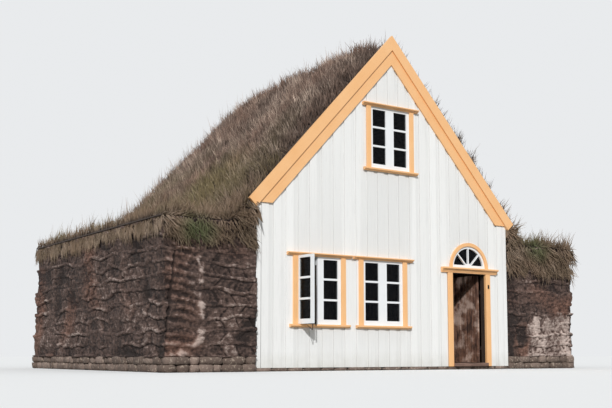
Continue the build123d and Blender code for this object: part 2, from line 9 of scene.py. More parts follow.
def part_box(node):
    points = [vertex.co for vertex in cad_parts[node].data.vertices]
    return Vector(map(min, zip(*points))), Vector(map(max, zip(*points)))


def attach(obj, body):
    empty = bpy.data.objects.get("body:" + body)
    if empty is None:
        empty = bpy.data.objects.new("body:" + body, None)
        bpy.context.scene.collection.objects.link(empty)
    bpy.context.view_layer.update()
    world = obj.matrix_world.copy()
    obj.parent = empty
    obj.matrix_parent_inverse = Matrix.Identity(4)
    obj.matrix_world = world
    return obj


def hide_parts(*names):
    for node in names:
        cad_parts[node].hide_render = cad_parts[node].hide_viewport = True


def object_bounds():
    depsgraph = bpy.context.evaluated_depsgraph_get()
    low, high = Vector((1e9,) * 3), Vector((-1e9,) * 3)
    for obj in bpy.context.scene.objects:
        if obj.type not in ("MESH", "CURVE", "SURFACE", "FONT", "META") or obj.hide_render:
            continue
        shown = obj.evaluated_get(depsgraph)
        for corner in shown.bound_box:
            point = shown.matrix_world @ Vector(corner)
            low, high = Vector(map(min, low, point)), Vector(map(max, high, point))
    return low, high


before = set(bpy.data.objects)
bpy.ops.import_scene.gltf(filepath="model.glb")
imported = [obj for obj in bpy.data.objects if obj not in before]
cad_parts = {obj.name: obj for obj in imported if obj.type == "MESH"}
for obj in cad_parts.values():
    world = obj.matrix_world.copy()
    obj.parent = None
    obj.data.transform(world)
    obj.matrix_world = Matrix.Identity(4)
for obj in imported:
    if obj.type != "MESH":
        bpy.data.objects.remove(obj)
cad_low, cad_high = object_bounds()


# Stone footings: grey-brown field stones of basalt, laid dry in two rough courses under the turf
# walls and as one flat course under the boarded front. Soil packed behind them holds them in place.
def linear(colour):
    """An sRGB hex colour as the linear colour that a shader wants."""
    shares = [int(colour[n:n + 2], 16) / 255 for n in (1, 3, 5)]
    return [c / 12.92 if c < 0.04045 else ((c + 0.055) / 1.055) ** 2.4 for c in shares] + [1.0]


def add(tree, kind, inputs=None, **settings):
    """Adds a node with its settings, and fills its inputs with values or with links."""
    node = tree.nodes.new(kind)
    for name, value in settings.items():
        setattr(node, name, value)
    for key, value in (inputs or {}).items():
        if isinstance(value, bpy.types.NodeSocket):
            tree.links.new(value, node.inputs[key])
        else:
            node.inputs[key].default_value = value
    return node


def speckle(tree, place, scale, detail, roughness=0.5):
    """Cloudy noise of this scale, as a number from 0 to 1."""
    return add(tree, "ShaderNodeTexNoise", {"Vector": place, "Scale": scale, "Detail": detail,
                                            "Roughness": roughness}).outputs[0]


def ranged(tree, value, first, second, start=0.0, end=1.0):
    """The value's share of the way from first to second, as a number from start to end."""
    return add(tree, "ShaderNodeMapRange", {0: value, 1: first, 2: second, 3: start,
                                            4: end}).outputs[0]


def carried(tree, name):
    """The number of this name that the mesh carries at each point."""
    return add(tree, "ShaderNodeAttribute", attribute_name=name).outputs["Fac"]


def new_finish(name):
    """An empty material with its node tree and the place on the object that patterns read."""
    material = bpy.data.materials.new(name)
    material.use_nodes = True
    tree = material.node_tree
    tree.nodes.clear()
    return material, tree, add(tree, "ShaderNodeTexCoord").outputs["Object"]


def close_finish(tree, colour, height, depth, **values):
    """Ends a material: its colour, its bump of a depth in metres, and the shader's own values."""
    relief = add(tree, "ShaderNodeBump", {"Height": height, "Distance": depth, "Strength": 1.0})
    shader = add(tree, "ShaderNodeBsdfPrincipled",
                 {"Base Color": colour, "Normal": relief.outputs[0], **values})
    add(tree, "ShaderNodeOutputMaterial", {"Surface": shader.outputs[0]})


def blend_colours(tree, share, first, second):
    """The colour that goes from the first to the second as the share goes from 0 to 1."""
    mix = add(tree, "ShaderNodeMix", {0: share}, data_type="RGBA")
    for key, colour in ((6, first), (7, second)):
        if isinstance(colour, str):
            mix.inputs[key].default_value = linear(colour)
        else:
            tree.links.new(colour, mix.inputs[key])
    return mix.outputs[2]


def stone_finish():
    """Weathered basalt with lichen: grey-brown stones of many tones, pitted and quite matt."""
    material, tree, place = new_finish("weathered basalt")
    tone = carried(tree, "tone")
    clouds = speckle(tree, place, 9.0, 6.0)
    lichen = speckle(tree, place, 26.0, 3.0)
    pits = speckle(tree, place, 70.0, 4.0)
    colour = blend_colours(tree, tone, "#54473f", "#a18d82")
    colour = blend_colours(tree, clouds, colour, "#6d5c52")
    spots = ranged(tree, lichen, 0.56, 0.66, 0.0, 0.6)
    colour = blend_colours(tree, spots, colour, "#b7a796")
    close_finish(tree, colour, pits, 0.006, Roughness=0.92)
    return material


def within(value, low=0, high=1):
    """The value, held between two limits."""
    return min(max(value, low), high)


def tone_layer(mesh):
    """Where the mesh keeps the tone of each of its points."""
    return mesh.verts.layers.float.get("tone") or mesh.verts.layers.float.new("tone")


def lump(mesh, centre, size, seed, tone):
    """Adds a stone: a ball pressed towards a box of this size and roughened."""
    blocky, rough = 0.42, 0.18
    shade = tone_layer(mesh)
    drift = Vector((seed * 7.3, seed * 3.1, seed * 5.7))
    for vert in bmesh.ops.create_icosphere(mesh, subdivisions=2, radius=1)["verts"]:
        way = vert.co.normalized()
        pressed = Vector([copysign(abs(c) ** blocky, c) for c in way])
        pressed *= 1 - rough + rough * noise.noise(way * 1.8 + drift)
        vert.co = Vector([p * s / 2 for p, s in zip(pressed, size)]) + Vector(centre)
        vert.co.x = within(vert.co.x, cad_low.x, cad_high.x)
        vert.co.y = min(vert.co.y, cad_high.y)
        vert.co.z = max(vert.co.z, 0)
        vert[shade] = tone


def placed(name, data):
    """An object of this name, linked into the scene."""
    item = bpy.data.objects.new(name, data)
    bpy.context.scene.collection.objects.link(item)
    return item


def finished(name, shapes, material, body, slot, *replaced):
    """Joins the shapes into one piece with one material, and fixes it to its body."""
    mesh = bmesh.new()
    for shape in shapes:
        mesh.from_mesh(shape)
    joined = bpy.data.meshes.new(name)
    mesh.to_mesh(joined)
    mesh.free()
    joined.materials.clear()
    joined.materials.append(material)
    joined.polygons.foreach_set("material_index", [0] * len(joined.polygons))
    piece = placed(name, joined)
    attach(piece, body)
    if replaced:
        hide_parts(*replaced)


def as_shape(mesh, smooth=False):
    """The mesh as a shape with its normals outwards."""
    bmesh.ops.recalc_face_normals(mesh, faces=mesh.faces[:])
    for face in mesh.faces:
        face.smooth = smooth
    shape = bpy.data.meshes.new("shape")
    mesh.to_mesh(shape)
    mesh.free()
    return shape


def stone_row(mesh, start, end, outwards, height, low, depth, chance):
    """Lays one course of stones from start to end, their outer faces on that line."""
    run = end - start
    way = run.normalized()
    reach = 0.0
    while reach < run.length - stone_least:
        width = min(chance.uniform(*stone_widths), run.length - reach)
        out = chance.uniform(0.0, stone_set_back)
        tall = height * chance.uniform(1.15, 1.4)
        middle = start + way * (reach + width / 2) - outwards * (depth * 0.49 + out)
        size = (width * stone_overlap, depth, tall)
        if abs(way.y) > 0.5:
            size = (depth, width * stone_overlap, tall)
        lump(mesh, (middle.x, middle.y, low + height / 2), size, len(mesh.verts) * 0.01,
             chance.uniform(0, 1) ** 2)
        reach += width


basalt = stone_finish()
side_low, side_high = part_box("footings_side")
front_low, front_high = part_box("footing_front")
stone_height = side_high.z
stone_depth = 0.26
stone_widths = (0.14, 0.46)
stone_set_back = 0.035
stone_least = 0.08
stone_overlap = 1.22
stone_courses = 2
course_height = stone_height / stone_courses
turf_left_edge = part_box("turf_wall_left")[1].x
turf_right_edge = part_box("turf_wall_right")[0].x
corners_left = [Vector((turf_left_edge, side_low.y, 0)), Vector((side_low.x, side_low.y, 0)),
                Vector((side_low.x, side_high.y, 0)), Vector((turf_left_edge, side_high.y, 0))]
corners_right = [Vector((turf_right_edge, side_high.y, 0)), Vector((side_high.x, side_high.y, 0)),
                 Vector((side_high.x, front_low.y, 0)), Vector((turf_right_edge, front_low.y, 0))]
for name, corners, node in (("footing_stones_left", corners_left, "footings_side"),
                            ("footing_stones_right", corners_right, "footings_side"),
                            ("footing_stones_back", [corners_left[3], corners_right[0]],
                             "footing_back")):
    mesh = bmesh.new()
    chance = Random(name)
    for start, end in zip(corners, corners[1:]):
        along = (end - start).normalized()
        for course in range(stone_courses):
            stone_row(mesh, start, end, Vector((-along.y, along.x, 0)), course_height,
                      course * course_height, stone_depth, chance)
    finished(name, [as_shape(mesh, True)], basalt, "house", "stone", node)

mesh = bmesh.new()
stone_row(mesh, Vector((front_low.x, front_low.y, 0)), Vector((front_high.x, front_low.y, 0)),
          Vector((0, -1, 0)), front_high.z, 0, front_high.y - front_low.y, Random("front"))
finished("footing_stones_front", [as_shape(mesh, True)], basalt, "house", "stone", "footing_front")


# Turf walls: blocks of cut turf laid slanting in courses, with long thin strips of turf between the
# courses to bind them and soil rammed behind. The cut faces dry to a fibrous brown, and torn ends go
# pale where the roots show. The strips are painted paler, partly from their roots and partly as a
# painted highlight on their proud faces. The walls stand on the stones by their own weight.
def sum_up(tree, operation, first, second):
    """The outcome of one operation on two numbers or sockets."""
    return add(tree, "ShaderNodeMath", {0: first, 1: second}, operation=operation).outputs[0]


def stretched(tree, place, scale):
    """The place on the object with its axes scaled, so that a pattern is drawn out along one."""
    return add(tree, "ShaderNodeMapping", {"Vector": place, "Scale": scale}).outputs[0]


def turf_finish():
    """Dried turf: dark in the joints, brown on cut faces, rusty in places, pale on torn ends."""
    material, tree, place = new_finish("dried turf blocks")
    tone = carried(tree, "tone")
    rust = carried(tree, "rust")
    flat = stretched(tree, place, (1.0, 1.0, 3.5))
    roots = speckle(tree, flat, 20.0, 8.0, 0.72)
    clods = speckle(tree, place, 16.0, 4.0)
    strewn = speckle(tree, place, 75.0, 6.0, 0.7)
    roots = sum_up(tree, "ADD", sum_up(tree, "MULTIPLY", roots, 0.65),
                   sum_up(tree, "MULTIPLY", strewn, 0.35))
    mottle = sum_up(tree, "SUBTRACT", sum_up(tree, "ADD", roots, clods), 1.0)
    shade = sum_up(tree, "ADD", tone, sum_up(tree, "MULTIPLY", mottle, 1.35))
    low = ranged(tree, shade, 0.0, 0.5)
    high = ranged(tree, shade, 0.5, 1.05)
    colour = blend_colours(tree, low, "#281d19", "#66524a")
    colour = blend_colours(tree, high, colour, "#cbb8ae")
    stained = blend_colours(tree, low, "#38231b", "#8a6250")
    colour = blend_colours(tree, rust, colour, stained)
    close_finish(tree, colour, roots, 0.03, Roughness=0.95)
    return material


def notch(away, half):
    """How deep a groove is at this distance from its middle: 1 there, and 0 at its edge."""
    return max(0.0, 1 - (away / half) ** 2)


wall_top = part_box("turf_wall_left")[1].z
wall_rise = wall_top - stone_height
party_left, party_right = cad_low.x, cad_high.x
left_spread = -side_low.y - 0.03
left_belly = 0.06
right_belly = 0.03
back_foot = side_high.y - 0.03
back_batter = 0.15
course_set_back = 0.045
layers_in_wall = 10
layer = wall_rise / layers_in_wall
strip_share = 0.26
block_width = 0.33
soil_inset = 0.12
face_inset = 0.012
turf_foot_height = stone_height - 0.02
soil_tone = 0.2
clod_depth = 0.022
joint_depth = 0.026
hollow_depth = 0.09
# Vector noise starts from the clock unless it is seeded, and would lay the turf anew at each run.
noise.seed_set(5)


def laid_turf(run, height):
    """Relief, tone and rust of the turf at one point of the faces that run on round the house."""
    here = Vector((run, height, 0))
    slid = here + noise.noise_vector(here * 1.7) * 0.1 + noise.noise_vector(here * 5) * 0.035
    level = (slid.y - stone_height) / layer
    row = floor(level)
    share = level - row
    worn = within(0.42 + 2.2 * noise.noise(here * 1.2 + Vector((4, 7, 1))), 0.1)
    drift = noise.noise(Vector((run * 1.3, row * 3.7, 2)))
    fibre = noise.noise(Vector((run * 6, height * 30, 5)))
    grain = noise.noise(Vector((run * 26, height * 60, 7)))
    clod = noise.noise(here * 8) + 0.5 * noise.noise(here * 19)
    hollow = max(0.0, noise.noise(here * 1.9) - 0.15)
    out = 0.008 * fibre + 0.005 * grain + clod_depth * clod - hollow_depth * hollow
    out -= course_set_back * (1 - (row % 2 + share) / 2)
    if share > 1 - strip_share:
        across = (share - 1 + strip_share) / strip_share
        out += (1 - worn) * (0.012 + 0.03 * drift) * (1 - (2 * across - 1) ** 4)
        # The proud strips are made paler, partly from their roots and partly as a painted highlight.
        tone = 0.36 + (1 - worn) * (0.1 + 0.5 * drift)
    else:
        slant = 0.5 if row % 2 else -0.5
        along = slid.x / block_width + slant * (share - 0.5) + 0.37 * row + 0.5 * drift
        block = floor(along)
        beside = min(along - block, 1 - along + block) * block_width
        luck = noise.noise(Vector((block * 5.3, row * 7.1, 11)))
        joint = max(notch(beside, 0.024), notch((1 - strip_share - share) * layer, 0.03))
        joint *= 1 - 0.8 * worn
        out += clod_depth * luck - joint_depth * joint
        tone = 0.31 + 0.3 * luck * (1.2 - worn) - 0.4 * joint
    # The hollows are darkened as painted shade.
    tone += 0.2 * noise.noise(here * 0.9) + 0.18 * fibre + 0.18 * clod - 0.8 * hollow
    rust = 1.5 * (noise.noise(here * 1.1 + Vector((9, 4, 3))) - 0.12)
    return out, tone, within(rust, 0, 0.6)


def far_from(x, height, line):
    """How far a point of a front lies from a line through several points."""
    here = Vector((x, height))
    nearest = []
    for start, end in zip(line, line[1:]):
        run = Vector(end) - Vector(start)
        share = within((here - Vector(start)).dot(run) / run.length_squared)
        nearest.append((here - Vector(start) - run * share).length)
    return min(nearest)


# Marks of the two fronts, in metres from the house's middle and metres up, as the photograph has them
torn_line = [(-4.36, 0.31), (-4.12, 0.4), (-3.99, 0.6), (-4.09, 0.78), (-3.97, 1.0), (-4.07, 1.2),
             (-4.02, 1.42), (-3.96, 1.6), (-4.03, 1.8)]


def left_marks(x, height):
    """What sets the left front apart: pale torn ends where two runs meet, a cleft darkened as painted
    shade, thin strips beyond it, paler on their crests partly as a painted highlight and darker between
    them as painted shade, and a rusty foot."""
    ragged = noise.noise(Vector((x * 11, height * 11, 2)))
    torn = notch(far_from(x, height, torn_line) / (0.08 + 0.06 * ragged), 1)
    torn *= within(0.5 + 2.4 * noise.noise(Vector((x * 4, height * 7, 6))))
    cleft = notch(x + 4.467 + 0.132 * (1.93 - height), 0.03) if 0.5 < height < 1.95 else 0.0
    wave = noise.noise(Vector((x * 1.6, height * 0.7, 12)))
    strip = sin(2 * pi * (height + 0.22 * (x + 4.0) + 0.1 * wave) / 0.15)
    strip *= within((-4.05 - x) / 0.1)
    foot = notch(hypot((x + 4.45) / 0.55, (height - 0.42) / 0.28), 1)
    dark = within((x + 3.95) / 0.2)
    # Painted shade in the cleft and between the strips, and a painted highlight on the strips' crests.
    return (0.03 * torn - 0.035 * cleft + 0.016 * strip,
            0.8 * torn - 0.45 * cleft + 0.3 * foot - 0.06 * dark + 0.2 * strip, 0.5 * foot)


def right_marks(x, height):
    """What sets the right front apart: a pale washed foot that is whitest in two upright streaks, a
    hollow beside it darkened as painted shade, with a rusty rim, and a painted shadow along the edge by
    the boards."""
    ragged = noise.noise(Vector((x * 6, height * 3, 4)))
    ragged += 0.5 * noise.noise(Vector((x * 17, height * 17, 4)))
    below = within((1.15 + 0.15 * ragged - height) / 0.15)
    washed = below * within((x - 3.5 + 0.1 * ragged) / 0.2)
    streak = notch(x - 4.02 + 0.22 * height, 0.2) + notch(x - 4.66, 0.17)
    streak *= below * within(0.65 + 1.1 * ragged)
    # The hollow is darkened as painted shade.
    pit = notch(hypot((x - 3.39) / 0.2, (height - 0.64) / 0.25), 1)
    rim = max(notch(hypot((x - 3.48) / 0.42, (height - 0.53) / 0.46), 1) - 1.5 * pit - streak, 0)
    # Painted shadow of the boards' edge on the turf beside it.
    dark = notch(x - turf_right_edge, 0.3)
    tone = (0.38 + 0.25 * ragged) * washed + 0.4 * streak + 0.3 * rim - 0.4 * pit - 0.35 * dark
    return 0.015 * streak - 0.05 * pit, tone, 0.7 * rim - washed - streak


def skin(rings):
    """A closed skin through level or upright rings of points, each with its tone and its rust."""
    mesh = bmesh.new()
    kinds = [mesh.verts.layers.float.new(name) for name in ("tone", "rust")]
    rows = []
    for ring in rings:
        row = []
        for place, *values in ring:
            vert = mesh.verts.new(place)
            for kind, value in zip(kinds, values):
                vert[kind] = value
            row.append(vert)
        rows.append(row)
    for low, high in zip(rows, rows[1:]):
        for n in range(len(low)):
            mesh.faces.new((low[n - 1], low[n], high[n], high[n - 1]))
    mesh.faces.new(rows[0])
    mesh.faces.new(rows[-1])
    return mesh


def wall_columns(inner, party):
    """Points round a side wall, across the front, along the party face and across the back. Each is
    its x, its share of the way to the back, its distance past that and its outward direction."""
    side = copysign(1, party)
    corner, turns = 0.07, 6
    flat = party - side * corner
    grid = 0.014
    across = ceil(abs(flat - inner) / grid)
    along = 190
    columns = [(inner + (flat - inner) * n / across, 0, 0, Vector((0, -1, 0)))
               for n in range(across + 1)]
    for n in range(1, turns):
        angle = pi / 2 * n / turns
        columns.append((flat + side * corner * sin(angle), 0, corner * (1 - cos(angle)),
                        Vector((side * sin(angle), -cos(angle), 0))))
    columns += [(party, n / along, corner * (1 - 2 * n / along), Vector((side, 0, 0)))
                for n in range(along + 1)]
    for n in range(1, turns):
        angle = pi / 2 * n / turns
        columns.append((flat + side * corner * cos(angle), 1, corner * (sin(angle) - 1),
                        Vector((side * cos(angle), sin(angle), 0))))
    across //= 2
    columns += [(flat + (inner - flat) * n / across, 1, 0, Vector((0, 1, 0)))
                for n in range(across + 1)]
    return columns


def runs_round(columns):
    """How far each point round a wall lies from the first one."""
    spots = [Vector((x, share * back_foot + past)) for x, share, past, outwards in columns]
    runs = [0.0]
    for last, spot in zip(spots, spots[1:]):
        runs.append(runs[-1] + (spot - last).length)
    return runs


def side_wall(columns, runs, spread, belly, marks):
    """A side wall of laid turf, with a front that stands out at its foot and bellies halfway up."""
    rows = 160
    heights = [0, turf_foot_height]
    heights += [stone_height + wall_rise * n / rows for n in range(rows + 1)]
    rings = []
    for height in heights:
        rise = max(height - stone_height, 0) / wall_rise
        front = -spread * (1 - rise) - 4 * belly * rise * (1 - rise)
        rear = back_foot - back_batter * rise
        ring = []
        for run, (x, share, past, outwards) in zip(runs, columns):
            out, tone, rust = laid_turf(run, height)
            if share == 0 and past == 0:
                more = marks(x, height)
                out, tone, rust = out + more[0], tone + more[1], rust + more[2]
            out -= face_inset
            if height < stone_height:
                out, tone = -soil_inset, soil_tone
            place = Vector((x, front + (rear - front) * share + past, height)) + outwards * out
            place.x = within(place.x, party_left, party_right)
            ring.append((place, tone, within(rust)))
        rings.append(ring)
    return as_shape(skin(rings), True)


turf = turf_finish()
columns = wall_columns(turf_left_edge, party_left)
runs = runs_round(columns)
left_end = runs[-1]
finished("laid_turf_left", [side_wall(columns, runs, left_spread, left_belly, left_marks)], turf,
         "house", "turf", "turf_wall_left")

gable_low, gable_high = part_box("turf_wall_back")
half_back = gable_high.x
roof_pitch = 47.5
slope = tan(radians(roof_pitch))
turf_tip = gable_high.z - 0.06
row_step = 0.028
back_columns = 200
rings = []
height = 0
while height < turf_tip:
    reach = min(half_back, (gable_high.z - height) / slope)
    rear = back_foot - back_batter * max(height - stone_height, 0) / wall_rise
    ring = [(Vector((-reach, gable_low.y, height)), 0, 0)]
    for n in range(back_columns + 1):
        x = reach * (2 * n / back_columns - 1)
        out, tone, rust = laid_turf(left_end + half_back + x, height)
        if height < stone_height:
            out, tone = -soil_inset, soil_tone
        ring.append((Vector((x, rear + out - face_inset, height)), tone, rust))
    ring.append((Vector((reach, gable_low.y, height)), 0, 0))
    rings.append(ring)
    height = height + row_step if height else turf_foot_height
finished("laid_turf_back", [as_shape(skin(rings), True)], turf, "house", "turf", "turf_wall_back")

columns = wall_columns(turf_right_edge, party_right)
runs = runs_round(columns)
runs = [left_end + 2 * half_back + runs[-1] - run for run in runs]
finished("laid_turf_right", [side_wall(columns, runs, 0, right_belly, right_marks)], turf, "house",
         "turf", "turf_wall_right")


# Timber frame: sawn and hewn pine, pegged and nailed, seen only through the doorway and windows.
# The wood is bare, and has gone grey-brown with dark checks along the grain.
def wood_finish(name, pale, dark, along, grain=0.012, roughness=0.8):
    """Bare softwood with streaks this many metres wide, running along one axis."""
    material, tree, place = new_finish(name)
    scale = [1.0, 1.0, 1.0]
    scale[along] = 0.06
    drawn = stretched(tree, place, scale)
    streaks = speckle(tree, drawn, 0.5 / grain, 6.0, 0.6)
    clouds = speckle(tree, place, 2.5, 3.0)
    share = ranged(tree, streaks, 0.34, 0.66)
    colour = blend_colours(tree, share, dark, pale)
    worn = ranged(tree, clouds, 0.45, 0.7, 0.0, 0.5)
    colour = blend_colours(tree, worn, colour, dark)
    close_finish(tree, colour, streaks, 0.003, Roughness=roughness)
    return material


def dress(material, *nodes):
    """Gives CAD nodes, whose shape is right as it is, their finish."""
    for node in nodes:
        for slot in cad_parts[node].material_slots:
            slot.material = material


for name, along, nodes in (
        ("old pine upright", 2, ("front_posts", "side_posts", "rafters")),
        ("old pine across", 0, ("front_beams", "loft_joists", "loft_floor")),
        ("old pine lengthwise", 1,
         ("wall_plates", "ridge_board", "roof_boards_left", "roof_boards_right"))):
    dress(wood_finish(name, "#9a8068", "#4a382b", along), *nodes)
# The door frame is finished near black, darker than the other timbers.
dress(wood_finish("dark door frame pine", "#4a382c", "#1d1512", 2), "door_frame")


# Ground floor: sawn pine boards, laid from front to back and nailed to five sleepers that lie on the
# ground. Walking has worn the bare wood pale.
def prism(mesh, outline, axis, start, end):
    """Adds a closed bar: an outline across one axis, drawn out along it from start to end."""
    near, far = [], []
    for reach, ring in ((start, near), (end, far)):
        for first, second in outline:
            spot = [first, second]
            spot.insert(axis, reach)
            ring.append(mesh.verts.new(spot))
        mesh.faces.new(ring)
    for n in range(len(near)):
        mesh.faces.new((near[n - 1], near[n], far[n], far[n - 1]))


def box_shape(mesh, low, high):
    """Adds a plain box between two corners."""
    middle = [(a + b) / 2 for a, b in zip(low, high)]
    size = [b - a for a, b in zip(low, high)]
    place = Matrix.Translation(middle) @ Matrix.Diagonal((*size, 1.0))
    bmesh.ops.create_cube(mesh, size=1, matrix=place)


def eased(first, second, low, high, ease=0.003):
    """The outline of a board's end, from its two sides, with its upper corners eased."""
    return [(first, low), (second, low), (second, high - ease), (second - ease, high),
            (first + ease, high), (first, high - ease)]


def board_sides(start, end, width, chance):
    """Both sides of each board that fills a run, each a little wider or narrower than the next."""
    play, widest = 0.12, 1.4
    edges = [start]
    while end - edges[-1] > width * widest:
        edges.append(edges[-1] + width * chance.uniform(1 - play, 1 + play))
    return zip(edges, edges[1:] + [end])


floor_low, floor_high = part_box("ground_floor")
floor_thick = 0.03
floor_board = 0.16
sleeper_wide = 0.09
sleeper_count = 5
joint_gap = 0.003
mesh = bmesh.new()
for first, second in board_sides(floor_low.x, floor_high.x, floor_board, Random(3)):
    prism(mesh, eased(first + joint_gap, second, floor_high.z - floor_thick, floor_high.z), 1,
          floor_low.y, floor_high.y)
for n in range(sleeper_count):
    start = floor_low.y + n * (floor_high.y - floor_low.y - sleeper_wide) / (sleeper_count - 1)
    box_shape(mesh, (floor_low.x, start, floor_low.z),
              (floor_high.x, start + sleeper_wide, floor_high.z - floor_thick))
floor_wood = wood_finish("worn floor pine", "#a58669", "#5b4334", 1, 0.016, 0.65)
finished("floor_boards", [as_shape(mesh)], floor_wood, "house", "floor_wood", "ground_floor")


# Inner boards: upright sawn pine boards, nailed to the posts of the side walls and to the back wall to
# keep the turf's damp and soil out. The wood is bare and has gone brown.
mesh = bmesh.new()
lining_low, lining_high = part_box("side_boards")
lining = 0.025
lining_board = 0.15
for side in (-1, 1):
    for first, second in board_sides(lining_low.y, lining_high.y, lining_board, Random(side)):
        outline = [(side * abs(across), along) for along, across in
                   eased(first + joint_gap, second, -lining_high.x, lining - lining_high.x)]
        prism(mesh, outline, 2, lining_low.z, lining_high.z)
back_low, back_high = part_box("back_boards")
for first, second in board_sides(back_low.x, back_high.x, lining_board, Random(9)):
    first += joint_gap
    outline = [(first, back_low.z), (second, back_low.z),
               (second, back_high.z - slope * abs(second)), (first, back_high.z - slope * abs(first))]
    prism(mesh, outline, 1, back_low.y, back_high.y)
inner_wood = wood_finish("inner pine boards", "#8d735c", "#4a3729", 2, 0.014)
finished("inner_boards", [as_shape(mesh)], inner_wood, "house", "bare_timber", "side_boards",
         "back_boards")


# Front boards: upright pine boards in two layers, the outer ones lapping the gaps of the inner ones,
# nailed to the frame and painted white with oil paint. They run from the stones to the barge boards.
def board_paint():
    """White oil paint on sawn boards: nearly matt, with faint grain and a soiled foot, and the sides of
    the boards darkened grey as painted shade.
    """
    material, tree, place = new_finish("white oil paint on boards")
    tone = carried(tree, "tone")
    drawn = stretched(tree, place, (1.0, 1.0, 0.05))
    streaks = speckle(tree, drawn, 45.0, 5.0)
    colour = blend_colours(tree, tone, "#e4e4e2", "#f2f2f0")
    share = ranged(tree, streaks, 0.52, 0.75, 0.0, 0.35)
    colour = blend_colours(tree, share, colour, "#cfd0ce")
    height = add(tree, "ShaderNodeSeparateXYZ", {0: place}).outputs[2]
    blots = speckle(tree, place, 7.0, 5.0)
    foot = ranged(tree, height, 0.05, 0.35, 0.5, 0.0)
    soil = sum_up(tree, "MULTIPLY", foot, blots)
    colour = blend_colours(tree, soil, colour, "#a8a38f")
    # Painted shade: faces that turn sideways, the sides of the boards, are darkened towards grey.
    facing = add(tree, "ShaderNodeNewGeometry").outputs["Normal"]
    sideways = sum_up(tree, "ABSOLUTE", add(tree, "ShaderNodeSeparateXYZ", {0: facing}).outputs[0], 0)
    edge = ranged(tree, sideways, 0.8, 0.95, 0.0, 0.4)
    colour = blend_colours(tree, edge, colour, "#8f8f8c")
    close_finish(tree, colour, streaks, 0.0015, Roughness=0.62)
    return material


def cut_away(shape, cutters):
    """What is left of closed meshes when the cutters are taken out of them."""
    body = placed("body", shape)
    tool = placed("tool", cutters)
    modifier = body.modifiers.new("cut", "BOOLEAN")
    modifier.object = tool
    modifier.solver = "EXACT"
    ready = body.evaluated_get(bpy.context.evaluated_depsgraph_get())
    left = bpy.data.meshes.new_from_object(ready)
    for part in (body, tool):
        bpy.data.objects.remove(part)
    return left


front_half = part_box("front_boards_gable")[1].x
front_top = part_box("front_boards_gable")[1].z
front_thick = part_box("front_boards_left")[1].y
board_foot = front_high.z
door_left, door_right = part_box("threshold")[0].x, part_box("threshold")[1].x
door_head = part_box("front_boards_over_door")[0].z
door_middle = (door_left + door_right) / 2
sash_low, sash_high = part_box("fanlight_sash")
fanlight_radius = (sash_high.x - sash_low.x) / 2
cornice_top = sash_low.z
# Each window: its middle from the front's middle, the height of its sill, and its own height
windows = ((-1.641, 0.81, 1.187), (-0.225, 0.81, 1.187), (-0.03, 3.72, 1.16))
light_width = 0.92
frame_member = 0.04
outer_board = 0.155
inner_board = 0.17
corner_board = 0.1
board_pitch = 0.2515
board_stray = 0.008
outer_layer = 0.015
outer_back = outer_layer - 0.0005
cut_depth = 0.1
arch_steps = 32


def gable_board(mesh, first, second, near, far, tone):
    """One upright board of the front, its head cut to the slope of the gable."""
    shade = tone_layer(mesh)
    first, second = max(first, -front_half), min(second, front_half)
    heads = [(x, front_top - slope * abs(x)) for x in (second, first)]
    if first < 0 < second:
        heads.insert(1, (0, front_top))
    count = len(mesh.verts)
    prism(mesh, [(first, board_foot), (second, board_foot), *heads], 1, near, far)
    mesh.verts.ensure_lookup_table()
    for vert in mesh.verts[count:]:
        vert[shade] = tone


mesh = bmesh.new()
chance = Random(12)
pitches = ceil(front_half / board_pitch)
for n in range(-pitches, pitches + 1):
    middle = n * board_pitch + chance.uniform(-board_stray, board_stray)
    if abs(middle) < front_half:
        gable_board(mesh, middle - outer_board / 2, middle + outer_board / 2, 0.0, outer_back,
                    chance.uniform(0.6, 1))
    middle = (n + 0.5) * board_pitch
    if abs(middle) < front_half:
        gable_board(mesh, middle - inner_board / 2, middle + inner_board / 2, outer_layer,
                    front_thick, chance.uniform(0, 0.5))
for side in (-1, 1):
    first, second = sorted((side * front_half, side * (front_half - corner_board)))
    gable_board(mesh, first, second, 0.0, outer_back, 0.9)
boards = as_shape(mesh)
mesh = bmesh.new()
for middle, sill, height in windows:
    half = light_width / 2 + frame_member
    box_shape(mesh, (middle - half, -cut_depth, sill - frame_member),
              (middle + half, cut_depth, sill + height + frame_member))
box_shape(mesh, (door_left, -cut_depth, -cut_depth), (door_right, cut_depth, door_head))
arch = [pi * n / arch_steps for n in range(arch_steps + 1)]
prism(mesh, [(door_middle + fanlight_radius * cos(a), cornice_top + fanlight_radius * sin(a))
             for a in arch], 1, -cut_depth, cut_depth)
finished("front_cladding", [cut_away(boards, as_shape(mesh))], board_paint(), "house", "white_boards",
         "front_boards_left", "front_boards_right", "front_boards_over_door", "front_boards_gable")


# Windows: pine frames and casements with three panes each, puttied into rebates and painted white
# with gloss. The casements hang on the frames, and the left one of the left window stands open.
def sash_paint():
    """White gloss paint on planed wood: smooth and bright, slightly uneven from the brush."""
    material, tree, place = new_finish("white gloss on sashes")
    brush = speckle(tree, place, 60.0, 3.0)
    clouds = speckle(tree, place, 5.0, 2.0)
    colour = blend_colours(tree, clouds, "#e6e9eb", "#f2f4f5")
    close_finish(tree, colour, brush, 0.0008, Roughness=0.35)
    return material


def pane_finish():
    """Old window glass: a thin dusty sheet that lets light through, coloured near black as painted
    shade of the dark room behind it.
    """
    material, tree, place = new_finish("window glass")
    dust = speckle(tree, place, 4.0, 5.0)
    # Painted shade: the glass's own colour is near black, standing in for the dark room seen through
    # it.
    colour = blend_colours(tree, dust, "#050609", "#111318")
    close_finish(tree, colour, dust, 0.003, Alpha=0.45, Roughness=0.04,
                 **{"Specular IOR Level": 0.12})
    return material


dress(sash_paint(), "window_frames", "casements_lower", "casements_upper", "casement_ajar",
      "fanlight_sash")
dress(pane_finish(), "window_glass", "fanlight_glass")


